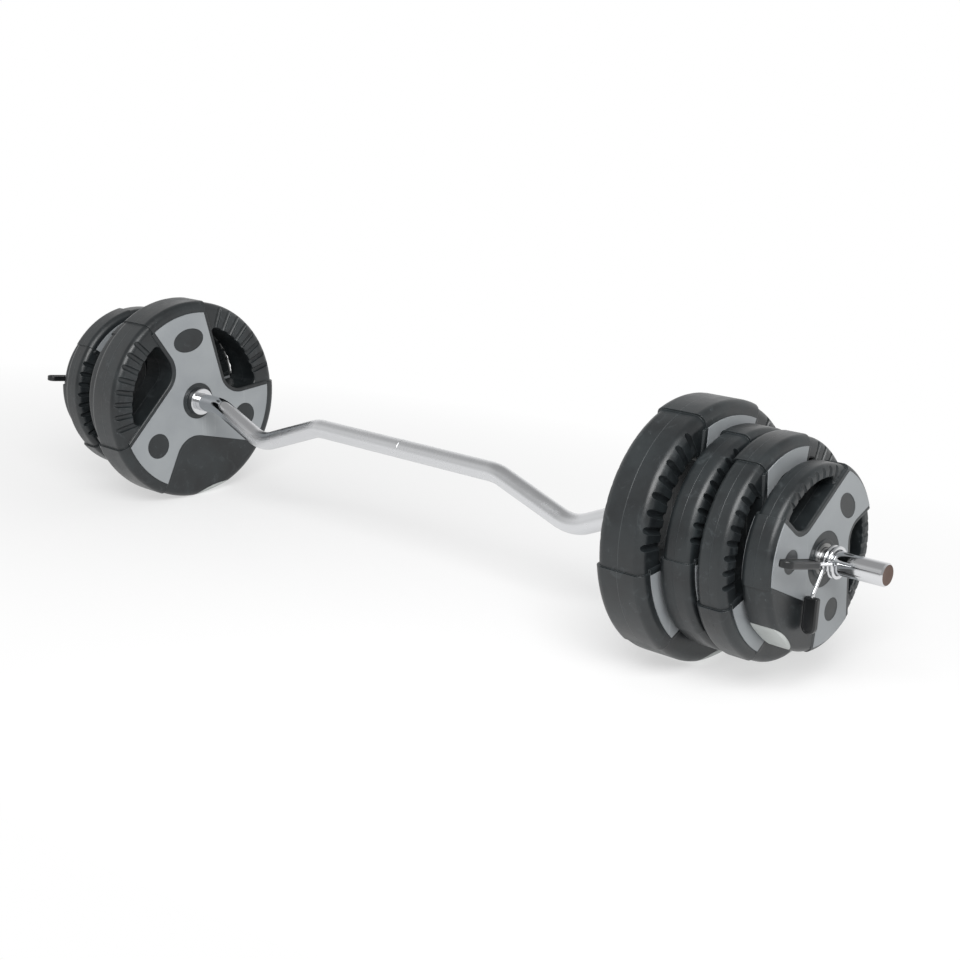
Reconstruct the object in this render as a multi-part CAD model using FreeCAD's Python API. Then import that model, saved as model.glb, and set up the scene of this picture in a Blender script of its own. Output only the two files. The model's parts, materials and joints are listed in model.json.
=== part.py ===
import FreeCAD, Part
import math
import os
from FreeCAD import Vector

# Loaded curl bar: a bent bar, four grip plates on each sleeve and a spring collar outside each stack.
# X runs along the bar, Z is up. The model is drawn about the sleeves' axis, and written with its
# origin in the middle of the centre grip, which lies a little above that axis. Lengths are in mm.

# Bar
bar_diameter = 25.0
bar_length = 1388.0
centre_grip_half = 165.0
valley_reach = 286.0
shoulder_reach = 378.0
centre_grip_rise = 4.5
valley_drop = 38.0
bend_radius = 60.0
bar_end_bevel = 1.6

# Inner collars, fixed to the bar
stop_reach = 432.0
stop_width = 10.0
stop_diameter = 39.0
stop_edge = 1.5
stop_fit = 0.1

# Plates, from the inside outwards: one large, two medium, one small
large_diameter = 292.0
large_thickness = 66.0
large_hub_diameter = 53.0
large_hole_share = 0.76
large_tip_share = 0.89
medium_diameter = 246.0
medium_thickness = 42.5
medium_hub_diameter = 56.0
medium_hole_share = 0.8
medium_tip_share = 0.905
small_diameter = 203.0
small_thickness = 37.0
small_hub_diameter = 60.0
small_hole_share = 0.84
small_tip_share = 0.94
stack_gap = 0.3
left_plate_slack = 16.5

# Features that every plate has, whatever its size
hub_step_diameter = 42.0
hub_proud = 1.0
hub_step = 0.8
web_corner_reach = 52.0
web_lip = 6.0
lip_round = 2.5
inlay_thickness = 2.5
inlay_proud = 0.4
inlay_fit = 0.1
cap_step = 0.6
cap_proud = 2.2
panel_step = 0.2
panel_proud = 0.4
grip_step = 2.5
grip_edge_round = 3.0
hole_tuck = 0.6
bush_wall = 4.0
bush_clearance = 0.5
bush_fit = 0.3
core_skin = 6.0
core_fit = 0.2
hub_skin = 3.0

# Places on a plate as shares of its radius
rim_round_share = 0.07
hole_corner_share = 0.055
foot_half_share = 0.24
foot_depth_share = 0.037
spot_reach_share = 0.63
wide_spot_half_shares = (0.18, 0.115)
round_spot_share = 0.125
web_round_share = 0.25
rib_groove_share = 0.028
rib_rise_share = 0.002
core_half_share = 0.56

# Angles on a plate, in degrees, seen from outside with its closed panel at the bottom
arm_angles = (90.0, 210.0, 330.0)
arm_spacing = 120.0
open_grip_angles = (30.0, 150.0)
panel_angle = 270.0
foot_angle = 273.0
tip_half_angle = 20.0
web_corner_angle = 17.0
spot_turn = 5.0
cap_half_angle = 21.0
panel_half_angle = 40.0
rib_half_angle = 27.0
rib_grooves = 8

# How far each plate is turned on the bar, from the inside outwards
right_turns = (-3.5, -11.0, 9.0, -46.0)
left_turns = (-12.0, -16.0, -30.0, 15.0)

# Spring collars
wire_diameter = 4.2
coil_clearance = 0.7
coil_pitch = 5.0
coil_steps = 8
coil_start_angle = 180.0
coil_sweep = -705.0
fixed_arm_run = 2.0
fixed_arm_bend = 8.0
fixed_neck_angle = 233.0
fixed_neck_length = 29.0
fixed_arm_angle = 265.0
fixed_arm_length = 31.5
squeezed_arm_run = 3.3
squeezed_arm_bend = 7.0
squeezed_arm_angle = 166.0
squeezed_arm_length = 84.0
collar_turn_left = 203.0
collar_seat_gap = 0.5

# Paddles on the spring's arms
fixed_paddle_length = 39.0
squeezed_paddle_length = 60.0
paddle_width = 16.0
paddle_thickness = 8.0
paddle_edge = 2.0
paddle_border = 2.4
paddle_recess = 0.8
paddle_overhang = 10.0
paddle_fit = 0.3

# How far a cutting tool runs past what it cuts, and how near counts as the same place
overrun = 5.0
same_place = 0.01

bar_radius = bar_diameter / 2
bush_bore = bar_radius + bush_clearance
bush_radius = bush_bore + bush_wall
wire_radius = wire_diameter / 2
coil_radius = bar_radius + coil_clearance + wire_radius
along = Vector(1, 0, 0)
upright = Vector(0, 0, 1)
middle = Vector(0, 0, 0)


def polar(reach, degrees, x=0.0):
    """Point at a reach from the sleeves' axis, counted from Y towards Z."""
    turn = math.radians(degrees)
    return Vector(x, reach * math.cos(turn), reach * math.sin(turn))


def rod(radius, start, end):
    """Cylinder about X from one place to another."""
    return Part.makeCylinder(radius, end - start, Vector(start, 0, 0), along)


def rounded_corner(before, corner, after, radius):
    """Start, middle and end of the arc that rounds a corner."""
    to_before = (before - corner).normalize()
    to_after = (after - corner).normalize()
    half = to_before.getAngle(to_after) / 2
    tangent = radius / math.tan(half)
    inward = (to_before + to_after).normalize()
    depth = radius / math.sin(half) - radius
    return corner + to_before * tangent, corner + inward * depth, corner + to_after * tangent


def chain(points, bends):
    """Wire of straight runs whose inner points are rounded by the bends given."""
    edges = []
    last = points[0]
    for before, corner, after, radius in zip(points, points[1:], points[2:], bends):
        start, mid, end = rounded_corner(before, corner, after, radius)
        edges.append(Part.LineSegment(last, start).toShape())
        edges.append(Part.Arc(start, mid, end).toShape())
        last = end
    edges.append(Part.LineSegment(last, points[-1]).toShape())
    return Part.Wire(edges)


def slab(face, half):
    """Face in the plane of the plate's middle, thickened both ways along X."""
    face = face.copy()
    face.translate(Vector(-half, 0, 0))
    return face.extrude(Vector(2 * half, 0, 0))


def wedge(profile, centre_angle, half_angle):
    """Profile in the X and Y plane, swept about X over a sector of the plate."""
    face = profile.copy()
    face.rotate(middle, along, centre_angle - half_angle)
    return face.revolve(middle, along, 2 * half_angle)


def make_bar():
    half = bar_length / 2
    reaches = (half, shoulder_reach, valley_reach, centre_grip_half)
    heights = (0.0, 0.0, -valley_drop, centre_grip_rise)
    right = [Vector(x, 0, z) for x, z in zip(reaches, heights)]
    left = [Vector(-p.x, 0, p.z) for p in reversed(right)]
    path = chain(right + left, [bend_radius] * (len(right) + len(left) - 2))
    section = Part.Wire(Part.makeCircle(bar_radius, right[0], along))
    bar = path.makePipeShell([section], True, False)
    ends = [e for e in bar.Edges if abs(abs(e.CenterOfMass.x) - half) < bar_end_bevel]
    return bar.makeChamfer(bar_end_bevel, ends)


def make_stop():
    ring = rod(stop_diameter / 2, stop_reach - stop_width, stop_reach)
    rims = [e for e in ring.Edges if isinstance(e.Curve, Part.Circle)]
    ring = ring.makeFillet(stop_edge, rims)
    return ring.cut(rod(bar_radius + stop_fit, stop_reach - stop_width - overrun, stop_reach + overrun))


class Plate:
    """One rubber plate: cast core, rubber casing, bush, two three-armed inlays and a flat foot."""

    def __init__(self, diameter, thickness, hub_diameter, hole_share, tip_share):
        self.radius = diameter / 2
        self.thickness = thickness
        self.face = thickness / 2 - hub_proud
        self.hub_radius = hub_diameter / 2
        self.rim_round = rim_round_share * self.radius
        self.tip_reach = tip_share * self.radius
        self.grip_radius = self.radius - cap_proud
        self.panel_radius = self.grip_radius + panel_proud
        self.hole_reach = hole_share * self.radius
        self.web = self.arms_outline(self.tip_reach)

    def arms_outline(self, tip_reach):
        """Closed outline of the three arms, with a round corner between each arm and the next."""
        radius = web_round_share * self.radius
        edges = []
        for angle in arm_angles:
            leading = polar(tip_reach, angle + tip_half_angle)
            trailing = polar(tip_reach, angle - tip_half_angle)
            corner = polar(web_corner_reach, angle - web_corner_angle)
            next_leading = polar(tip_reach, angle - arm_spacing + tip_half_angle)
            start, mid, end = rounded_corner(trailing, corner, next_leading, radius)
            edges.append(Part.Arc(leading, polar(tip_reach, angle), trailing).toShape())
            edges.append(Part.LineSegment(trailing, start).toShape())
            edges.append(Part.Arc(start, mid, end).toShape())
            edges.append(Part.LineSegment(end, next_leading).toShape())
        return Part.Wire(Part.__sortEdges__(edges))

    def spots(self, slack):
        """Outlines of the windows in the arms: a wide one opposite the foot, and two round ones."""
        reach = spot_reach_share * self.radius
        wide_half, wide_depth = (share * self.radius + slack for share in wide_spot_half_shares)
        centre = polar(reach, arm_angles[0])
        wide = Part.Ellipse(centre + Vector(0, wide_half, 0), centre + Vector(0, 0, wide_depth), centre)
        outlines = [Part.Wire(wide.toShape())]
        for angle in arm_angles[1:]:
            circle = Part.makeCircle(round_spot_share * self.radius + slack, polar(reach, angle), along)
            outlines.append(Part.Wire(circle))
        for outline in outlines:
            outline.rotate(middle, along, spot_turn)
        return outlines

    def inlay_face(self, slack):
        """Face of an inlay, or of the recess that it lies in when slack is the fit."""
        outline = self.web.makeOffset2D(slack) if slack else self.web
        hub = Part.Wire(Part.makeCircle(self.hub_radius + inlay_fit - slack, middle, along))
        face = Part.Face(outline)
        for hole in [hub] + self.spots(inlay_fit - slack):
            face = face.cut(Part.Face(hole))
        return face.Faces[0]

    def rim_profile(self, outer, half):
        """Section from the hub out to the rim, with its outer edges rounded."""
        bevel = self.rim_round * (1 - math.sqrt(0.5))
        inner = self.hub_radius
        edges = []
        for side in (1, -1):
            rim_top = Vector(side * half, outer - self.rim_round, 0)
            rim_mid = Vector(side * (half - bevel), outer - bevel, 0)
            rim_out = Vector(side * (half - self.rim_round), outer, 0)
            edges.append(Part.Arc(rim_top, rim_mid, rim_out).toShape())
            edges.append(Part.LineSegment(Vector(side * half, inner, 0), rim_top).toShape())
        edges.append(Part.LineSegment(Vector(half, inner, 0), Vector(-half, inner, 0)).toShape())
        edges.append(Part.LineSegment(Vector(-rim_out.x, outer, 0), rim_out).toShape())
        return Part.Face(Part.Wire(Part.__sortEdges__(edges)))

    def hole_face(self, angle):
        """Finger hole between two arms, with rounded corners at its grip."""
        disc = Part.Face(Part.Wire(Part.makeCircle(self.hole_reach, middle, along)))
        arms = Part.Face(self.web.makeOffset2D(web_lip - hole_tuck))
        towards = polar(1.0, angle)
        gap = max(disc.cut(arms).Faces, key=lambda face: face.CenterOfMass.dot(towards))
        corner = hole_corner_share * self.radius
        return Part.Face(gap.OuterWire.makeOffset2D(-corner).makeOffset2D(corner))

    def ring(self):
        """Disc behind the arms, with a finger hole in each open sector and ribs across its grips."""
        half = self.face - grip_step
        solid = self.rim_profile(self.grip_radius, half).revolve(middle, along, 360)
        holes = [slab(self.hole_face(angle), self.thickness) for angle in open_grip_angles]
        solid = solid.cut(Part.Compound(holes))
        hole_rims = []
        for edge in solid.Edges:
            place = edge.valueAt((edge.FirstParameter + edge.LastParameter) / 2)
            reach = math.hypot(place.y, place.z)
            on_face = abs(abs(place.x) - half) < same_place
            if on_face and self.hub_radius + same_place < reach < self.hole_reach + same_place:
                hole_rims.append(edge)
        solid = solid.makeFillet(grip_edge_round, hole_rims)
        grooves = []
        radius = rib_groove_share * self.radius
        lift = half + rib_rise_share * self.radius
        for centre_angle in open_grip_angles:
            for step in range(rib_grooves):
                angle = centre_angle + rib_half_angle * (2 * step / (rib_grooves - 1) - 1)
                for side in (1, -1):
                    low = polar(self.hole_reach - overrun, angle, side * lift)
                    high = polar(self.radius + overrun, angle, side * lift)
                    run = high - low
                    grooves.append(Part.makeCylinder(radius, run.Length, low, run))
        return solid.cut(Part.Compound(grooves))

    def panel(self):
        """Closed sector of the casing, which carries the foot."""
        profile = self.rim_profile(self.panel_radius, self.face - panel_step)
        return wedge(profile, panel_angle, panel_half_angle)

    def foot_face(self, slack, beyond):
        """Lens between the flat of the foot and the arc that bounds it inside."""
        half = foot_half_share * self.radius
        flat = -math.sqrt(self.panel_radius ** 2 - half ** 2)
        depth = foot_depth_share * self.radius + slack
        left = Vector(0, -half - slack, flat)
        right = Vector(0, half + slack, flat)
        edges = [Part.Arc(left, Vector(0, 0, flat + depth), right).toShape()]
        drop = Vector(0, 0, -beyond)
        if beyond:
            edges.append(Part.LineSegment(right, right + drop).toShape())
            edges.append(Part.LineSegment(left + drop, left).toShape())
        edges.append(Part.LineSegment(right + drop, left + drop).toShape())
        face = Part.Face(Part.Wire(Part.__sortEdges__(edges)))
        face.rotate(middle, along, foot_angle - panel_angle)
        return face

    def foot(self):
        return self.panel().common(slab(self.foot_face(0.0, 0.0), self.thickness))

    def core(self, slack):
        """Cast core, or the space that it fills in the casing when slack is the fit."""
        half = core_half_share * self.face + slack
        outline = self.arms_outline(self.grip_radius)
        arms = slab(Part.Face(outline.makeOffset2D(slack - core_skin)), half)
        ring_in = self.hole_reach + core_skin - slack
        ring_out = self.grip_radius - core_skin + slack
        ring = rod(ring_out, -half, half).cut(rod(ring_in, -half - overrun, half + overrun))
        foot_space = slab(self.foot_face(core_skin - slack, self.radius), self.thickness)
        solid = arms.fuse(ring).cut(foot_space)
        return solid.cut(rod(bush_radius + hub_skin - slack, -half - overrun, half + overrun))

    def casing(self):
        """Rubber over the core: caps at the arms, grips or a closed panel between them, and a hub."""
        lip = slab(Part.Face(self.web.makeOffset2D(web_lip)), self.face)
        rims = [e for e in lip.Edges if abs(abs(e.CenterOfMass.x) - self.face) < lip_round]
        web = lip.makeFillet(lip_round, rims).common(rod(self.tip_reach, -self.face, self.face))
        cap = self.rim_profile(self.radius, self.face - cap_step)
        pieces = [wedge(cap, angle, cap_half_angle) for angle in arm_angles]
        pieces.append(self.ring())
        pieces.append(self.panel())
        half = self.thickness / 2
        pieces.append(rod(self.hub_radius, hub_step - half, half - hub_step))
        pieces.append(rod(hub_step_diameter / 2, -half, half))
        solid = web.multiFuse(pieces)
        recess = self.inlay_face(inlay_fit)
        depth = Vector(inlay_thickness - inlay_proud + overrun, 0, 0)
        floor = self.face - inlay_thickness + inlay_proud
        cuts = []
        for side in (1, -1):
            face = recess.copy()
            face.translate(Vector(side * floor, 0, 0))
            cuts.append(face.extrude(depth * side))
        cuts.append(slab(self.foot_face(inlay_fit, self.radius), self.thickness))
        cuts.append(rod(bush_radius + bush_fit, -self.thickness, self.thickness))
        cuts.append(self.core(core_fit))
        for cut in cuts:
            solid = solid.cut(cut)
        return solid

    def bush(self):
        half = self.thickness / 2
        return rod(bush_radius, -half, half).cut(rod(bush_bore, -half - overrun, half + overrun))

    def inlay(self, side):
        face = self.inlay_face(0.0)
        floor = self.face - inlay_thickness + inlay_proud
        face.translate(Vector(side * floor, 0, 0))
        return face.extrude(Vector(side * inlay_thickness, 0, 0))

    def pieces(self):
        return {
            "casing": self.casing(),
            "core": self.core(0.0),
            "bush": self.bush(),
            "outer_inlay": self.inlay(1),
            "inner_inlay": self.inlay(-1),
            "foot": self.foot(),
        }


def arc_from(start, heading, end):
    """Arc that leaves start along a heading and passes through end."""
    chord = end - start
    reach = chord.Length ** 2 / (2 * chord.dot(heading))
    corner = start + heading * reach
    half = chord.Length / 2
    towards = corner - (start + end) * 0.5
    radius = half * reach / towards.Length
    sag = radius - math.sqrt(radius ** 2 - half ** 2)
    return Part.Arc(start, (start + end) * 0.5 + towards.normalize() * sag, end).toShape()


def biarc(start, heading, end, end_heading):
    """Two arcs that meet smoothly and join two points along given headings."""
    chord = end - start
    both = heading + end_heading
    spread = 2 * (1 - heading.dot(end_heading))
    along_both = chord.dot(both)
    reach = (math.sqrt(along_both ** 2 + spread * chord.dot(chord)) - along_both) / spread
    joint = (start + end + (heading - end_heading) * reach) * 0.5
    return [arc_from(start, heading, joint), arc_from(end, end_heading * -1, joint)]


def arm(root, heading, run, bend, legs):
    """Wire that leaves the coil along a heading and bends to legs of given angles and lengths."""
    turn = heading.getAngle(polar(1.0, legs[0][0]))
    points = [root, root + heading * (run + bend * math.tan(turn / 2))]
    for angle, length in legs:
        points.append(points[-1] + polar(length, angle))
    return chain(points, [bend] * len(legs)).Edges, points[-1]


def coil_place(turned):
    """Point and heading of the coil after it has turned by some degrees."""
    degrees = coil_start_angle + turned
    point = polar(coil_radius, degrees, coil_pitch * abs(turned) / 360)
    side = math.copysign(1.0, coil_sweep)
    flat = turned in (0.0, coil_sweep)
    rise = 0.0 if flat else coil_pitch / (2 * math.pi)
    heading = polar(coil_radius * side, degrees + 90.0, rise)
    return point, heading.normalize()


def make_spring():
    """Collar spring as one wire: fixed arm, coil and squeezed arm, with its coil starting at x zero."""
    steps = [coil_sweep * k / coil_steps for k in range(coil_steps + 1)]
    places = [coil_place(turned) for turned in steps]
    first, first_heading = places[0]
    last, last_heading = places[-1]
    fixed_legs = ((fixed_neck_angle, fixed_neck_length), (fixed_arm_angle, fixed_arm_length))
    edges, tip = arm(first, first_heading * -1, fixed_arm_run, fixed_arm_bend, fixed_legs)
    for (start, heading), (end, end_heading) in zip(places, places[1:]):
        edges += biarc(start, heading, end, end_heading)
    squeezed_legs = ((squeezed_arm_angle, squeezed_arm_length),)
    end_edges, end_tip = arm(last, last_heading, squeezed_arm_run, squeezed_arm_bend, squeezed_legs)
    edges += end_edges
    path = Part.Wire(Part.__sortEdges__(edges))
    section = Part.Wire(Part.makeCircle(wire_radius, tip, polar(1.0, fixed_arm_angle)))
    spring = path.makePipeShell([section], True, False)
    print("spring gap to itself, mm:", round(least_gap(path) - wire_diameter, 3))
    print("spring volume share of section times length:",
          round(spring.Volume / (math.pi * wire_radius ** 2 * path.Length), 4))
    return spring, tip, end_tip


def least_gap(path):
    """Least distance between points of a path that lie more than half a turn of the coil apart."""
    spacing = wire_diameter / 4
    points = path.discretize(Distance=spacing)
    skip = int(math.pi * coil_radius / spacing)
    return min(a.distanceToPoint(b) for i, a in enumerate(points) for b in points[i + skip:])


def make_paddle(tip, arm_angle, length):
    """Flat moulded finger paddle on the end of an arm, with a raised border on both faces."""
    half = paddle_width / 2

    def outline(inset):
        side = half - inset
        bottom = inset
        top = length - half
        corners = [Vector(-side, bottom, 0), Vector(side, bottom, 0), Vector(side, top, 0)]
        edges = [Part.LineSegment(a, b).toShape() for a, b in zip(corners, corners[1:])]
        edges.append(Part.Arc(corners[-1], Vector(0, top + side, 0), Vector(-side, top, 0)).toShape())
        edges.append(Part.LineSegment(Vector(-side, top, 0), corners[0]).toShape())
        return Part.Face(Part.Wire(edges))

    body = outline(0.0)
    body.translate(Vector(0, 0, -paddle_thickness / 2))
    body = body.extrude(Vector(0, 0, paddle_thickness))
    body = body.makeFillet(paddle_edge, body.Edges)
    for side in (1, -1):
        pocket = outline(paddle_border)
        pocket.translate(Vector(0, 0, side * (paddle_thickness / 2 - paddle_recess)))
        body = body.cut(pocket.extrude(Vector(0, 0, side * overrun)))
    socket_length = length - paddle_overhang
    hole = Part.makeCylinder(wire_radius + paddle_fit, socket_length + overrun,
                             Vector(0, -overrun, 0), Vector(0, 1, 0))
    body = body.cut(hole)
    body.translate(Vector(0, -(socket_length - paddle_fit), 0))
    body.rotate(middle, along, arm_angle)
    body.translate(tip)
    return body


def write(shape, name):
    placed = shape.copy()
    placed.translate(Vector(0, 0, -centre_grip_rise))
    placed.exportStep("parts/" + name + ".step")
    solids = len(placed.Solids)
    print(name, "solids", solids, "valid", placed.isValid(), "volume", round(placed.Volume))


def to_left(shape):
    turned = shape.copy()
    turned.rotate(middle, upright, 180)
    return turned


def write_side(side, turns, plate_slack, collar_turn, stack, spring_pieces):
    """Plates and collar of one sleeve, drawn on the right and turned about Z for the left."""
    turn_over = to_left if side == "left" else lambda shape: shape
    write(turn_over(make_stop()), side + "_inner_collar")
    place = stop_reach
    for number, (size, turn) in enumerate(zip(stack, turns), 1):
        plate, pieces = size
        place += stack_gap
        if number == 3:
            place += plate_slack
        for piece, shape in pieces.items():
            placed = shape.copy()
            placed.rotate(middle, along, turn)
            placed.translate(Vector(place + plate.thickness / 2, 0, 0))
            write(turn_over(placed), side + "_plate_" + str(number) + "_" + piece)
        place += plate.thickness
    place += collar_seat_gap + paddle_width / 2
    for name, shape in spring_pieces.items():
        placed = shape.copy()
        placed.rotate(middle, along, collar_turn)
        placed.translate(Vector(place, 0, 0))
        write(turn_over(placed), side + "_" + name)


os.makedirs("parts", exist_ok=True)
write(make_bar(), "bar_shaft")

sizes = (
    (large_diameter, large_thickness, large_hub_diameter, large_hole_share, large_tip_share),
    (medium_diameter, medium_thickness, medium_hub_diameter, medium_hole_share, medium_tip_share),
    (small_diameter, small_thickness, small_hub_diameter, small_hole_share, small_tip_share),
)
plates = [Plate(*size) for size in sizes]
made = [(plate, plate.pieces()) for plate in plates]
loading = (made[0], made[1], made[1], made[2])

spring, fixed_tip, squeezed_tip = make_spring()
collar_pieces = {
    "collar_spring": spring,
    "collar_fixed_paddle": make_paddle(fixed_tip, fixed_arm_angle, fixed_paddle_length),
    "collar_squeezed_paddle": make_paddle(squeezed_tip, squeezed_arm_angle, squeezed_paddle_length),
}

write_side("right", right_turns, 0.0, 0.0, loading, collar_pieces)
write_side("left", left_turns, left_plate_slack, collar_turn_left, loading, collar_pieces)
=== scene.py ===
# %% [markdown]
# A loaded curl bar: a bent chromed bar with four rubber plates and a spring collar on each sleeve.
# The construction comes in as a fixed frame, in metres, with X along the bar and Z up. This lesson gives
# every piece its finish, remakes the bar and the springs as smooth swept meshes, and lights the result.

# %% Load the frame
import json
import math
import bpy
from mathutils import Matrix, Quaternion, Vector


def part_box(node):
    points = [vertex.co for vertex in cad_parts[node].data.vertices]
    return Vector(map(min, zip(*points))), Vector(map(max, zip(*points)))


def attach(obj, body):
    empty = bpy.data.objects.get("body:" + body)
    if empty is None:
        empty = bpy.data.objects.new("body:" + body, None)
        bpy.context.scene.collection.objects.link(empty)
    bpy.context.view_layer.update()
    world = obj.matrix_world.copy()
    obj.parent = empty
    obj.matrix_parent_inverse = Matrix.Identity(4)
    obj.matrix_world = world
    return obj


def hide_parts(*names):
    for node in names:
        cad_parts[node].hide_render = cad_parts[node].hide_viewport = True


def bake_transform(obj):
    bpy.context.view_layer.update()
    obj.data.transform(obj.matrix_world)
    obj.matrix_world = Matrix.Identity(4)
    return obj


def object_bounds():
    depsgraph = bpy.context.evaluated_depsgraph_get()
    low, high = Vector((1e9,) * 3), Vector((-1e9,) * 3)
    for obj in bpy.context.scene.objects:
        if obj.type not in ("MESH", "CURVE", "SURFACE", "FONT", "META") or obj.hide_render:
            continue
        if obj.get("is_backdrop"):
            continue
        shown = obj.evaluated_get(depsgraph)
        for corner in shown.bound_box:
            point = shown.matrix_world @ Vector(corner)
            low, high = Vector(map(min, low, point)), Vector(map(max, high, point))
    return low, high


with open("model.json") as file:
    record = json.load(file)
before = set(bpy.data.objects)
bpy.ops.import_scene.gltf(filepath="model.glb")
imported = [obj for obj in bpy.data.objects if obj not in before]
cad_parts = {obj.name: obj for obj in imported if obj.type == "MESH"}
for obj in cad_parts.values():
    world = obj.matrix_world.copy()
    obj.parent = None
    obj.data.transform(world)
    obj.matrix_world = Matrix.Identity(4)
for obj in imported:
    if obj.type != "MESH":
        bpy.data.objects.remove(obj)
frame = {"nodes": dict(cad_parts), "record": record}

MM = 0.001
nodes = frame["nodes"]
scene = bpy.context.scene
cad_low, cad_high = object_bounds()
print("nodes", len(nodes), "box", [round(v, 4) for v in cad_high - cad_low])

# %% [markdown]
# Colours are written as sRGB hex values, the way a paint chart or a picture gives them. Shaders work in
# linear light, so one function turns a hex value into linear red, green, blue and alpha.


# %% Colour from a hex value
def colour(code):
    channels = [int(code[i:i + 2], 16) / 255 for i in (1, 3, 5)]
    linear = [c / 12.92 if c <= 0.04045 else ((c + 0.055) / 1.055) ** 2.4 for c in channels]
    return (*linear, 1.0)


print("mid grey", [round(c, 3) for c in colour("#808080")])

# %% [markdown]
# Every finish below is a small graph of shader nodes. One function adds a node. Settings go on the node
# itself. Inputs come by name or in order: one that is another node's socket is linked, any other is set.
# A colour mix has one set of sockets for each kind of data, and its colours are inputs 6 and 7, output 2.


# %% Adding shader nodes
def add(tree, kind, inputs=(), out=0, **settings):
    node = tree.nodes.new(kind)
    for name, value in settings.items():
        setattr(node, name, value)
    for name, value in inputs.items() if isinstance(inputs, dict) else enumerate(inputs):
        if isinstance(value, bpy.types.NodeSocket):
            tree.links.new(value, node.inputs[name])
        else:
            node.inputs[name].default_value = value
    return node.outputs[out] if node.outputs else node


def new_material(name):
    material = bpy.data.materials.new(name)
    material.use_nodes = True
    material.node_tree.nodes.clear()
    return material, material.node_tree


def finish_with(tree, inputs):
    shader = add(tree, "ShaderNodeBsdfPrincipled", inputs)
    add(tree, "ShaderNodeOutputMaterial", {"Surface": shader})


# %% [markdown]
# The plates are moulded rubber. The mould's blasted steel gives it a fine dull grain, so it is dark and
# broad soft highlights lie on it. Handling leaves it cloudy, with scuffs and pale dust specks. The grain
# could be sculpted, but it is far too fine for a mesh, so it is bump, drawn coarser than real so that it
# shows. No moulded edge is truly sharp: a bevel of the shading normal rounds each one by a millimetre,
# and the same bevel tells where edges are, so that they are painted paler: partly edge wear, partly a
# painted highlight along the rounded rims. Where the two mould halves met, a thin raised line runs round
# the middle of the rim.

# %% Moulded rubber
RUBBER_GRAIN = 1.3 * MM
GRAIN_DEPTH = 0.09 * MM
RUBBER_CLOUD = 38 * MM
SCUFF_LENGTH = 22 * MM
DUST_SPACING = 7 * MM
EDGE_ROUND = 1.0 * MM
PARTING_DEPTH = 0.3 * MM
PARTING_SHARE = 0.008


def moulded_rubber(name, dark, light, dust, roughness):
    material, tree = new_material(name)
    place = add(tree, "ShaderNodeTexCoord", out="Object")
    cloud = add(tree, "ShaderNodeTexNoise", {"Vector": place, "Scale": 1 / RUBBER_CLOUD, "Detail": 5.0})
    grain = add(tree, "ShaderNodeTexNoise", {"Vector": place, "Scale": 1 / RUBBER_GRAIN, "Detail": 2.0})
    rough = {"Vector": place, "Scale": 1 / SCUFF_LENGTH, "Detail": 9.0, "Roughness": 0.72, "Distortion": 1.5}
    scuff = add(tree, "ShaderNodeTexNoise", rough)
    cells = add(tree, "ShaderNodeTexVoronoi", {"Vector": place, "Scale": 1 / DUST_SPACING})
    soft_edge = add(tree, "ShaderNodeBevel", {"Radius": EDGE_ROUND}, samples=4)
    flat = add(tree, "ShaderNodeNewGeometry", out="Normal")
    bend = add(tree, "ShaderNodeVectorMath", (soft_edge, flat), "Value", operation="DOT_PRODUCT")
    across = add(tree, "ShaderNodeSeparateXYZ", (add(tree, "ShaderNodeTexCoord", out="Generated"),))
    off_middle = add(tree, "ShaderNodeMath", (across, 0.5), operation="SUBTRACT")
    away = add(tree, "ShaderNodeMath", (off_middle,), operation="ABSOLUTE")
    parting = add(tree, "ShaderNodeMapRange", (away, 0.0, PARTING_SHARE, 1.0, 0.0))

    cloudy = add(tree, "ShaderNodeMapRange", (cloud, 0.35, 0.65, 0.0, 1.0))
    scuffed = add(tree, "ShaderNodeMapRange", (scuff, 0.56, 0.78, 0.0, 0.3))
    # Every edge is painted paler here: partly edge wear, partly a painted highlight on the rounded rims.
    worn_edge_highlight = add(tree, "ShaderNodeMapRange", (bend, 0.99, 0.8, 0.0, 0.28))
    speck = add(tree, "ShaderNodeMapRange", (cells, 0.05, 0.1, 0.8, 0.0))
    settled = add(tree, "ShaderNodeMapRange", (scuff, 0.5, 0.62, 0.0, 1.0))
    dusty = add(tree, "ShaderNodeMath", (speck, settled), operation="MULTIPLY")
    scuffs_and_edge_highlight = add(tree, "ShaderNodeMath", (scuffed, worn_edge_highlight), operation="MAXIMUM")
    line = add(tree, "ShaderNodeMath", (parting, 0.2), operation="MULTIPLY")
    marks_and_edge_highlight = add(tree, "ShaderNodeMath", (scuffs_and_edge_highlight, dusty), operation="MAXIMUM")
    pale = add(tree, "ShaderNodeMath", (marks_and_edge_highlight, line), operation="MAXIMUM")
    tone = add(tree, "ShaderNodeMix", {0: cloudy, 6: colour(dark), 7: colour(light)}, 2, data_type="RGBA")
    skin = add(tree, "ShaderNodeMix", {0: pale, 6: tone, 7: colour(dust)}, 2, data_type="RGBA")

    fine = add(tree, "ShaderNodeMath", (grain, GRAIN_DEPTH), operation="MULTIPLY")
    height = add(tree, "ShaderNodeMath", (parting, PARTING_DEPTH, fine), operation="MULTIPLY_ADD")
    bump = add(tree, "ShaderNodeBump", {
        "Height": height, "Strength": 0.7, "Distance": 1.0, "Normal": soft_edge})
    hazy = add(tree, "ShaderNodeMath", (cloud, scuff), operation="ADD")
    gloss = add(tree, "ShaderNodeMapRange", (hazy, 0.7, 1.3, roughness - 0.08, roughness + 0.1))
    finish_with(tree, {"Base Color": skin, "Roughness": gloss, "Normal": bump, "IOR": 1.52})
    return material


# Dark, with a broad dull sheen on its rounded rims.
rubber = moulded_rubber("moulded_black_rubber", "#16191b", "#222729", "#666d70", 0.37)
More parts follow.
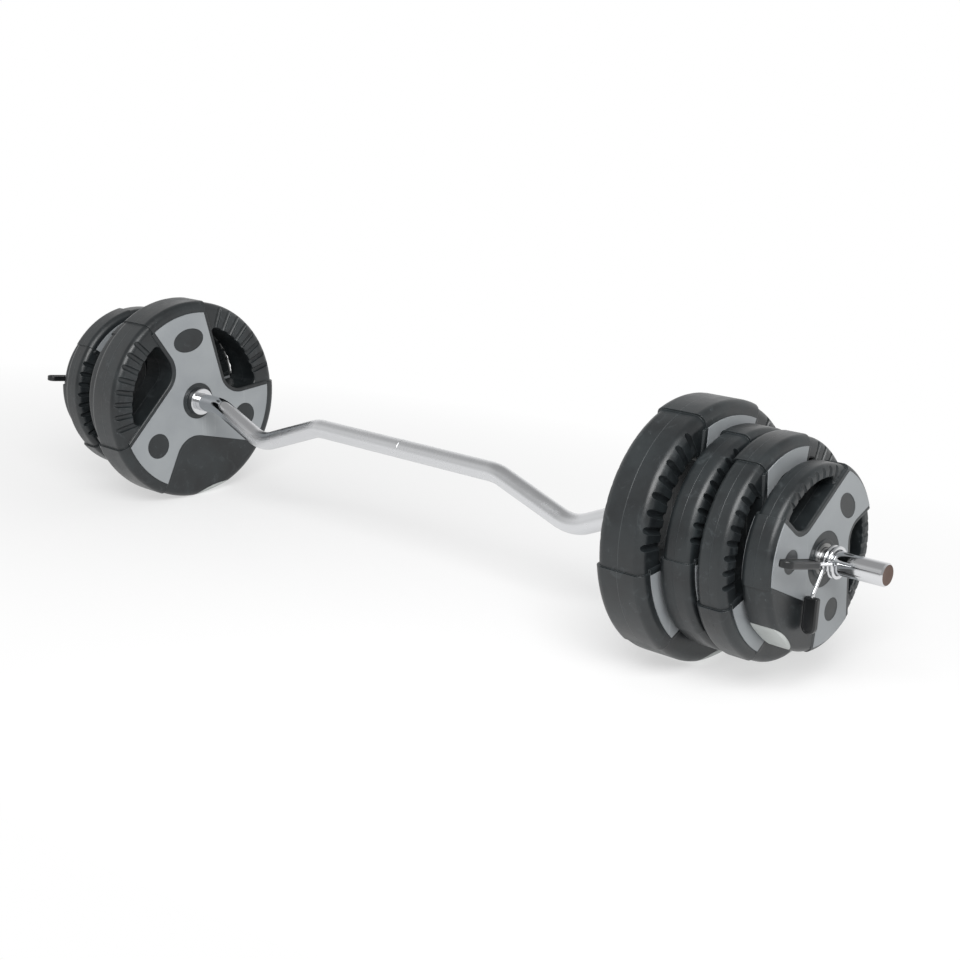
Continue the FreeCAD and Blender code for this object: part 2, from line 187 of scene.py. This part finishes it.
# The same skin in a pale grey, which reads as a flat light strip.
foot_rubber = moulded_rubber("moulded_pale_grey_rubber", "#a6aaa8", "#b8bcba", "#cccfcd", 0.48)
print("rubbers", rubber.name, foot_rubber.name)

# %% [markdown]
# The three-armed inlays are moulded plastic, pigmented a flat silver grey. Their satin skin shows wide
# pale highlights, fine grain and a few hair scratches. The finger paddles are a black moulding of the
# same kind, a little glossier where fingers polish it. Scratches could be cut in the mesh, but they have
# no depth to see, so they are thin streaks of a stretched noise in the colour.

# %% Moulded plastics
PLASTIC_GRAIN = 1.0 * MM
PLASTIC_GRAIN_DEPTH = 0.03 * MM
PLASTIC_CLOUD = 55 * MM
PLASTIC_EDGE = 0.5 * MM
SCRATCH_SPACING = 9 * MM
SCRATCH_STRETCH = (1.0, 1.0, 0.06)
SCRATCH_SLANT = (0.7, 0.0, 0.0)


def moulded_plastic(name, base, pale, roughness):
    material, tree = new_material(name)
    place = add(tree, "ShaderNodeTexCoord", out="Object")
    cloud = add(tree, "ShaderNodeTexNoise", {"Vector": place, "Scale": 1 / PLASTIC_CLOUD, "Detail": 4.0})
    grain = add(tree, "ShaderNodeTexNoise", {"Vector": place, "Scale": 1 / PLASTIC_GRAIN, "Detail": 2.0})
    stretch = {"Vector": place, "Rotation": SCRATCH_SLANT, "Scale": SCRATCH_STRETCH}
    drawn = add(tree, "ShaderNodeMapping", stretch)
    streak = add(tree, "ShaderNodeTexNoise", {"Vector": drawn, "Scale": 1 / SCRATCH_SPACING, "Detail": 6.0})
    cloudy = add(tree, "ShaderNodeMapRange", (cloud, 0.35, 0.65, 0.0, 0.6))
    handled = add(tree, "ShaderNodeMapRange", (cloud, 0.45, 0.6, 0.0, 1.0))
    hair = add(tree, "ShaderNodeMapRange", (streak, 0.62, 0.7, 0.0, 0.2))
    scratch = add(tree, "ShaderNodeMath", (hair, handled), operation="MULTIPLY")
    tone = add(tree, "ShaderNodeMix", {0: cloudy, 6: colour(base), 7: colour(pale)}, 2, data_type="RGBA")
    skin = add(tree, "ShaderNodeMix", {0: scratch, 6: tone, 7: colour("#c9ccce")}, 2, data_type="RGBA")
    soft_edge = add(tree, "ShaderNodeBevel", {"Radius": PLASTIC_EDGE}, samples=4)
    height = add(tree, "ShaderNodeMath", (grain, PLASTIC_GRAIN_DEPTH), operation="MULTIPLY")
    bump = add(tree, "ShaderNodeBump", {
        "Height": height, "Strength": 0.6, "Distance": 1.0, "Normal": soft_edge})
    gloss = add(tree, "ShaderNodeMapRange", (cloud, 0.3, 0.7, roughness - 0.05, roughness + 0.07))
    finish_with(tree, {"Base Color": skin, "Roughness": gloss, "Normal": bump, "IOR": 1.5})
    return material


# A flat mid grey with a soft satin sheen.
inlay_plastic = moulded_plastic("satin_moulded_grey_plastic", "#8b8f92", "#999d9f", 0.42)
# Nearly black, with small clear highlights on its rounded edges.
paddle_plastic = moulded_plastic("moulded_black_nylon", "#121314", "#1e2022", 0.32)
print("plastics", inlay_plastic.name, paddle_plastic.name)

# %% [markdown]
# Chrome plate is a mirror that takes its tones from the room: white floor below, softbox above and black
# rubber beside it. Plates that slide on and off leave it slightly hazed, so its roughness drifts. Turned
# and sawn steel show fine rings round the bar's axis as bump, with rings drawn a little wider than a tool
# leaves them so that they show. Cast iron is only dark and rough, with no bump.

# %% Metals
SLEEVE_HEIGHT = -4.5 * MM
HAZE_SIZE = 26 * MM
METAL_EDGE = 0.4 * MM
LATHE_PITCH = 0.9 * MM


def bare_metal(name, base, roughness, ring_depth):
    material, tree = new_material(name)
    place = add(tree, "ShaderNodeTexCoord", out="Object")
    haze = add(tree, "ShaderNodeTexNoise", {"Vector": place, "Scale": 1 / HAZE_SIZE, "Detail": 6.0})
    gloss = add(tree, "ShaderNodeMapRange", (haze, 0.3, 0.7, roughness * 0.6, roughness * 1.5))
    to_axis = {"Vector": place, "Location": (0.0, 0.0, -SLEEVE_HEIGHT), "Scale": (0.0, 1.0, 1.0)}
    section = add(tree, "ShaderNodeMapping", to_axis)
    reach = add(tree, "ShaderNodeVectorMath", (section,), "Value", operation="LENGTH")
    phase = add(tree, "ShaderNodeMath", (reach, 2 * math.pi / LATHE_PITCH), operation="MULTIPLY")
    ring = add(tree, "ShaderNodeMath", (phase,), operation="SINE")
    height = add(tree, "ShaderNodeMath", (ring, ring_depth), operation="MULTIPLY")
    soft_edge = add(tree, "ShaderNodeBevel", {"Radius": METAL_EDGE}, samples=4)
    bump = add(tree, "ShaderNodeBump", {
        "Height": height, "Strength": 1.0, "Distance": 1.0, "Normal": soft_edge})
    finish_with(tree, {"Base Color": colour(base), "Metallic": 1.0, "Roughness": gloss, "Normal": bump})
    return material


# A clear bright mirror.
polished_chrome = bare_metal("polished_chrome_plate", "#d6d7d9", 0.07, 0.0)
# Duller, with rings that catch the light in turn.
turned_steel = bare_metal("turned_bare_steel", "#8f8f8e", 0.32, 0.01 * MM)
# A brown film on a cut face, between mirror and matt.
sawn_steel = bare_metal("sawn_and_browned_steel_end", "#6e5c54", 0.42, 0.015 * MM)
# Dark and dull.
cast_iron = bare_metal("rough_cast_iron", "#3d3c3b", 0.6, 0.0)
print("metals", polished_chrome.name, turned_steel.name, sawn_steel.name, cast_iron.name)

# %% [markdown]
# Between the outer bends the bar is knurled: two families of fine grooves that cross and leave small
# diamonds. They blur the mirror to a pale satin. Real diamonds are about a millimetre and a half. They are
# drawn at nearly twice that so that they show. The pattern follows the tube's own map, turns around and
# metres along, and fades out short of the outer bends, where the bright plating starts.

# %% Knurled chrome
KNURL_PITCH = 2.6 * MM
KNURL_DEPTH = 0.3 * MM
KNURL_END = 368 * MM
KNURL_FADE = 8 * MM
KNURL_BLUR = 0.17


def knurled_chrome(name, base, diameter):
    material, tree = new_material(name)
    chart = add(tree, "ShaderNodeSeparateXYZ", (add(tree, "ShaderNodeUVMap", uv_map="run"),)).node
    around, along = chart.outputs["X"], chart.outputs["Y"]
    out = add(tree, "ShaderNodeMath", (along,), operation="ABSOLUTE")
    knurled = add(tree, "ShaderNodeMapRange", (out, KNURL_END, KNURL_END + KNURL_FADE, 1.0, 0.0))
    rows = round(math.pi * diameter / KNURL_PITCH)
    turns = add(tree, "ShaderNodeMath", (around, float(rows)), operation="MULTIPLY")
    steps = add(tree, "ShaderNodeMath", (along, KNURL_PITCH), operation="DIVIDE")
    rising = add(tree, "ShaderNodeMath", (turns, steps), operation="ADD")
    falling = add(tree, "ShaderNodeMath", (turns, steps), operation="SUBTRACT")
    ridge = add(tree, "ShaderNodeMath", (rising, 0.5), operation="PINGPONG")
    crossing = add(tree, "ShaderNodeMath", (falling, 0.5), operation="PINGPONG")
    diamond = add(tree, "ShaderNodeMath", (ridge, crossing), operation="MINIMUM")
    kept = add(tree, "ShaderNodeMath", (diamond, knurled), operation="MULTIPLY")
    height = add(tree, "ShaderNodeMath", (kept, KNURL_DEPTH), operation="MULTIPLY")
    bump = add(tree, "ShaderNodeBump", {"Height": height, "Strength": 0.6, "Distance": 1.0})
    place = add(tree, "ShaderNodeTexCoord", out="Object")
    haze = add(tree, "ShaderNodeTexNoise", {"Vector": place, "Scale": 1 / HAZE_SIZE, "Detail": 6.0})
    polish = add(tree, "ShaderNodeMapRange", (haze, 0.3, 0.7, 0.05, 0.12))
    gloss = add(tree, "ShaderNodeMath", (knurled, KNURL_BLUR, polish), operation="MULTIPLY_ADD")
    finish_with(tree, {"Base Color": colour(base), "Metallic": 1.0, "Roughness": gloss, "Normal": bump})
    return material


# %% [markdown]
# A bent bar and a spring wire are both a round section carried along a route. The route is a row of points
# with arcs at its corners. At each point a ring is set square to the route, and turned as little as can be
# from the ring before it, so that the skin doesn't twist. Each ring has its own radius, which gives bevels
# and grooves. A map named run keeps turns around and metres along for patterns.


# %% Routes and tubes
CREASE = 35.0


def rounded_route(points, bend, steps):
    route = [points[0]]
    for before, corner, after in zip(points, points[1:], points[2:]):
        back = (before - corner).normalized()
        ahead = (after - corner).normalized()
        half = back.angle(ahead) / 2
        centre = corner + (back + ahead).normalized() * (bend / math.sin(half))
        spoke = corner + back * (bend / math.tan(half)) - centre
        for step in range(steps + 1):
            turn = Quaternion(ahead.cross(back), (math.pi - 2 * half) * step / steps)
            route.append(centre + turn @ spoke)
    route.append(points[-1])
    return route


def tube(name, route, radii, sides, material, start_along=0.0, heading=None):
    headings = [heading] * len(route)
    if heading is None:
        ends = [route[0]] + route + [route[-1]]
        headings = [(b - a).normalized() for a, b in zip(ends, ends[2:])]
    side = headings[0].orthogonal().normalized()
    rings, alongs = [], [start_along]
    for i, (point, radius) in enumerate(zip(route, radii)):
        if i:
            side = headings[i - 1].rotation_difference(headings[i]) @ side
            alongs.append(alongs[-1] + (point - route[i - 1]).length)
        for k in range(sides):
            rings.append(point + Quaternion(headings[i], 2 * math.pi * k / sides) @ side * radius)
    faces, corners = [], []
    for i in range(len(route) - 1):
        for k in range(sides):
            after = (k + 1) % sides
            faces.append((i * sides + k, i * sides + after, (i + 1) * sides + after, (i + 1) * sides + k))
            corners += [(k / sides, alongs[i]), ((k + 1) / sides, alongs[i]),
                        ((k + 1) / sides, alongs[i + 1]), (k / sides, alongs[i + 1])]
    last = (len(route) - 1) * sides
    faces += [tuple(reversed(range(sides))), tuple(range(last, last + sides))]
    corners += [(0.0, alongs[0])] * sides + [(0.0, alongs[-1])] * sides
    mesh = bpy.data.meshes.new(name)
    mesh.from_pydata(rings, [], faces)
    chart = mesh.uv_layers.new(name="run")
    for loop, place in zip(chart.data, corners):
        loop.uv = place
    mesh.shade_smooth()
    mesh.set_sharp_from_angle(angle=math.radians(CREASE))
    mesh.materials.append(material)
    piece = bpy.data.objects.new(name, mesh)
    scene.collection.objects.link(piece)
    return piece


# %% [markdown]
# The bar is one length of 25 mm steel bent cold in four places, then chromed. Its middle carries a fine
# turned ring that marks the balance point. A swept tube gives round bends with an even highlight, where a
# row of flat facets would break the long reflections.

# %% The bar
BAR_RADIUS = 12.5 * MM
BAR_HALF = 694 * MM
BAR_CORNERS = ((165 * MM, 0.0), (286 * MM, -42.5 * MM), (378 * MM, SLEEVE_HEIGHT), (BAR_HALF, SLEEVE_HEIGHT))
BEND_RADIUS = 60 * MM
BEND_STEPS = 16
BAR_SIDES = 64
END_BEVEL = 1.6 * MM
MARK_HALF = 0.7 * MM
MARK_DEPTH = 0.25 * MM
FACE_RISE = 0.2 * MM
FACE_SIDES = 48

right_half = [Vector((x, 0.0, z)) for x, z in BAR_CORNERS]
left_half = [Vector((-p.x, 0.0, p.z)) for p in reversed(right_half)]
bar_route = rounded_route(left_half + right_half, BEND_RADIUS, BEND_STEPS)
bevel_step = Vector((END_BEVEL, 0.0, 0.0))
mark = [Vector((MARK_HALF * share, 0.0, 0.0)) for share in (-1.5, -1.0, -0.5, 0.5, 1.0, 1.5)]
middle = next(i for i, point in enumerate(bar_route) if point.x > 0)
bar_route = [bar_route[0], bar_route[0] + bevel_step, *bar_route[1:middle], *mark, *bar_route[middle:-1],
             bar_route[-1] - bevel_step, bar_route[-1]]
bar_radii = [BAR_RADIUS] * len(bar_route)
bar_radii[0] = bar_radii[-1] = BAR_RADIUS - END_BEVEL
marked = bar_route.index(mark[2])
bar_radii[marked] = bar_radii[marked + 1] = BAR_RADIUS - MARK_DEPTH
half_length = sum((b - a).length for a, b in zip(bar_route, bar_route[1:])) / 2
bar_finish = knurled_chrome("knurled_chrome_plate", "#d6d7d9", 2 * BAR_RADIUS)
bar = tube("bar_tube", bar_route, bar_radii, BAR_SIDES, bar_finish, -half_length)
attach(bar, "bar")
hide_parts("bar_shaft")

for side, sign in (("right", 1), ("left", -1)):
    outs = [BAR_HALF - FACE_RISE, BAR_HALF, BAR_HALF + FACE_RISE]
    face_route = [Vector((sign * out, 0.0, SLEEVE_HEIGHT)) for out in outs]
    face_radius = BAR_RADIUS - END_BEVEL
    face_radii = [face_radius, face_radius, face_radius - FACE_RISE]
    end_face = tube(side + "_end_face", face_route, face_radii, FACE_SIDES, sawn_steel)
    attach(end_face, "bar")
print("bar length along its route", round(2 * half_length, 4))

# %% [markdown]
# Each collar is one hard spring wire, wound nearly two turns round the sleeve with both ends led out as
# arms. Squeezing the arms together opens the coil: the fixed arm stays with the collar, and the other
# turns with the squeezed paddle. Here the wire is a single still swept tube, from one arm to the other.

# %% Collar springs
WIRE_RADIUS = 2.1 * MM
WIRE_SIDES = 20
COIL_RADIUS = 15.3 * MM
COIL_PITCH = 5 * MM
COIL_START = 180.0
COIL_SWEEP = -705.0
COIL_STEPS = 96
ARM_BEND_STEPS = 8
# Each arm: the straight run and bend radius where it leaves the coil, then its legs as angle and length.
FIXED_ARM = ((2.0, 8.0), ((233.0, 29.0), (265.0, 31.5)))
SQUEEZED_ARM = ((3.3, 7.0), ((166.0, 84.0),))
COLLAR_TURNS = {"right": 0.0, "left": 203.0}


def spoke(degrees, length):
    turn = math.radians(degrees)
    return Vector((0.0, length * math.cos(turn), length * math.sin(turn)))


def arm_route(root, heading, arm):
    (run, bend), legs = arm
    turn = heading.angle(spoke(legs[0][0], 1.0))
    points = [root, root + heading * (run + bend * math.tan(turn / 2)) * MM]
    for degrees, length in legs:
        points.append(points[-1] + spoke(degrees, length * MM))
    return rounded_route(points, bend * MM, ARM_BEND_STEPS)


def spring_route():
    coil = []
    for step in range(COIL_STEPS + 1):
        turned = COIL_SWEEP * step / COIL_STEPS
        onward = Vector((COIL_PITCH * abs(turned) / 360, 0.0, 0.0))
        coil.append(spoke(COIL_START + turned, COIL_RADIUS) + onward)
    first = arm_route(coil[0], -spoke(COIL_START - 90.0, 1.0), FIXED_ARM)
    last = arm_route(coil[-1], spoke(COIL_START + COIL_SWEEP - 90.0, 1.0), SQUEEZED_ARM)
    return first[:0:-1] + coil + last[1:]


for side, turn in COLLAR_TURNS.items():
    low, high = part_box(side + "_collar_fixed_paddle")
    start = abs(low.x + high.x) / 2
    about = Quaternion((1.0, 0.0, 0.0), math.radians(turn))
    over = Quaternion((0.0, 0.0, 1.0), 0.0 if side == "right" else math.pi)
    shift = Vector((start, 0.0, 0.0))
    route = [over @ (about @ point + shift) + Vector((0.0, 0.0, SLEEVE_HEIGHT)) for point in spring_route()]
    spring = tube(side + "_spring_wire", route, [WIRE_RADIUS] * len(route), WIRE_SIDES, polished_chrome)
    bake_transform(spring)
    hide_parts(side + "_collar_spring")
    low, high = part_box(side + "_collar_spring")
    print(side, "spring box", [round(v, 4) for v in low], [round(v, 4) for v in high])

# %% [markdown]
# The plates, collars and paddles keep their built shapes. Each takes the finish of its material slot.

# %% Finishes by slot
finishes = {
    "bar_chrome": polished_chrome,
    "black_rubber": rubber,
    "cast_iron": cast_iron,
    "bush_steel": turned_steel,
    "grey_inlay": inlay_plastic,
    "pale_foot": foot_rubber,
    "spring_chrome": polished_chrome,
    "paddle_plastic": paddle_plastic,
}
for part in frame["record"]["subparts"]:
    mesh = nodes[part["node"]].data
    mesh.materials.clear()
    mesh.materials.append(finishes[part["material_slot"]])
print("slots", len(finishes))

# %% [markdown]
# A product picture stands on white paper that sweeps up out of sight. Near the bar the paper is a plain
# matt sheet that keeps the soft shadow. Further out it fades into plain white, so no horizon shows.

# %% Paper floor
FLOOR_REACH = 60.0
ALONG_SHARE = 0.45
SHADOW_REACH = 0.15
WHITE_REACH = 0.75
NEAR_WHITE = 0.5

floor_mesh = bpy.data.meshes.new("paper_floor")
level = cad_low.z
floor_mesh.from_pydata(
    [(-FLOOR_REACH, -FLOOR_REACH, level), (FLOOR_REACH, -FLOOR_REACH, level),
     (FLOOR_REACH, FLOOR_REACH, level), (-FLOOR_REACH, FLOOR_REACH, level)], [], [(0, 1, 2, 3)])
floor = bpy.data.objects.new("paper_floor", floor_mesh)
scene.collection.objects.link(floor)
floor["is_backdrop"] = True
paper, tree = new_material("matt_white_paper")
place = add(tree, "ShaderNodeTexCoord", out="Object")
squeezed = add(tree, "ShaderNodeVectorMath", (place, (ALONG_SHARE, 1.0, 0.0)), operation="MULTIPLY")
out = add(tree, "ShaderNodeVectorMath", (squeezed,), "Value", operation="LENGTH")
matt = add(tree, "ShaderNodeBsdfDiffuse", {"Color": colour("#f6f6f6")})
white = add(tree, "ShaderNodeEmission", {"Color": (1.0, 1.0, 1.0, 1.0)})
fade = add(tree, "ShaderNodeMapRange", (out, SHADOW_REACH, WHITE_REACH, NEAR_WHITE, 1.0))
both = add(tree, "ShaderNodeMixShader", (fade, matt, white))
add(tree, "ShaderNodeOutputMaterial", {"Surface": both})
floor_mesh.materials.append(paper)

# %% [markdown]
# The light is a white studio: a softbox above and in front of the right end, and an even fill from the
# room. The camera sees plain white behind the paper, and so do mirrored rays. Chrome also needs something
# darker to mirror, or it turns to chalk, so for mirrored rays the room greys towards its ceiling and towards
# the side that the camera stands on.

# %% Studio light
ROOM_FILL = 0.38
TO_BACK_WALL = (-0.69, 0.73, 0.0)
FRONT_LEVEL = 0.45
FRONT_EDGE = -0.5
BACK_EDGE = 0.4
WALL_TOP = 0.35
CEILING_RISE = 0.8
CEILING_LEVEL = 0.4
SOFTBOX_PLACE = Vector((1.25, -1.15, 1.5))
SOFTBOX_POWER = 52.0
SOFTBOX_WIDTH = 1.6
SOFTBOX_DEPTH = 1.2

world = bpy.data.worlds.new("studio")
scene.world = world
world.use_nodes = True
tree = world.node_tree
tree.nodes.clear()
ray = add(tree, "ShaderNodeLightPath").node
seen = add(tree, "ShaderNodeMath", (
    ray.outputs["Is Camera Ray"], ray.outputs["Is Transmission Ray"]), operation="MAXIMUM")
toward = add(tree, "ShaderNodeTexCoord", out="Generated")
back = add(tree, "ShaderNodeVectorMath", (toward, TO_BACK_WALL), "Value", operation="DOT_PRODUCT")
walls = add(tree, "ShaderNodeMapRange", (back, FRONT_EDGE, BACK_EDGE, FRONT_LEVEL, 1.0))
upward = add(tree, "ShaderNodeSeparateXYZ", (toward,), "Z")
ceiling = add(tree, "ShaderNodeMapRange", (upward, WALL_TOP, CEILING_RISE, 1.0, CEILING_LEVEL))
room = add(tree, "ShaderNodeMath", (walls, ceiling), operation="MINIMUM")
lit = add(tree, "ShaderNodeMix", {0: ray.outputs["Is Glossy Ray"], 2: ROOM_FILL, 3: room})
level = add(tree, "ShaderNodeMath", (lit, seen), operation="MAXIMUM")
sky = add(tree, "ShaderNodeBackground", {"Color": (1.0, 1.0, 1.0, 1.0), "Strength": level})
add(tree, "ShaderNodeOutputWorld", {"Surface": sky})

lamp = bpy.data.lights.new("softbox", "AREA")
lamp.energy = SOFTBOX_POWER
lamp.shape = "RECTANGLE"
lamp.size = SOFTBOX_WIDTH
lamp.size_y = SOFTBOX_DEPTH
softbox = bpy.data.objects.new("softbox", lamp)
softbox.location = SOFTBOX_PLACE
softbox.rotation_mode = "QUATERNION"
softbox.rotation_quaternion = (-SOFTBOX_PLACE).to_track_quat("-Z", "Y")
scene.collection.objects.link(softbox)
print("softbox distance", round(SOFTBOX_PLACE.length, 2))

# %% [markdown]
# The picture was taken from beyond the right end, a little above the bar, so the near plates look large.

# %% Camera
CAMERA_PLACE = Vector((1.41219, -1.35763, 0.51648))
CAMERA_YAW = 43.235
CAMERA_PITCH = 15.907
CAMERA_LENS = 58.938
SENSOR_WIDTH = 36.0
camera = bpy.data.cameras.new("camera")
camera.lens = CAMERA_LENS
camera.sensor_width = SENSOR_WIDTH
viewer = bpy.data.objects.new("camera", camera)
viewer.location = CAMERA_PLACE
viewer.rotation_euler = (math.radians(90 - CAMERA_PITCH), 0.0, math.radians(CAMERA_YAW))
scene.collection.objects.link(viewer)
scene.camera = viewer
scene.view_settings.view_transform = "Standard"
print("camera distance", round(CAMERA_PLACE.length, 2))

# %% [markdown]
# Both boxes are printed, the built one near the top and the dressed one here, to be compared.
# The dressed object has to stay within the built one.

# %% Sizes
low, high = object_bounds()
print("visual box", [round(v, 4) for v in high - low])
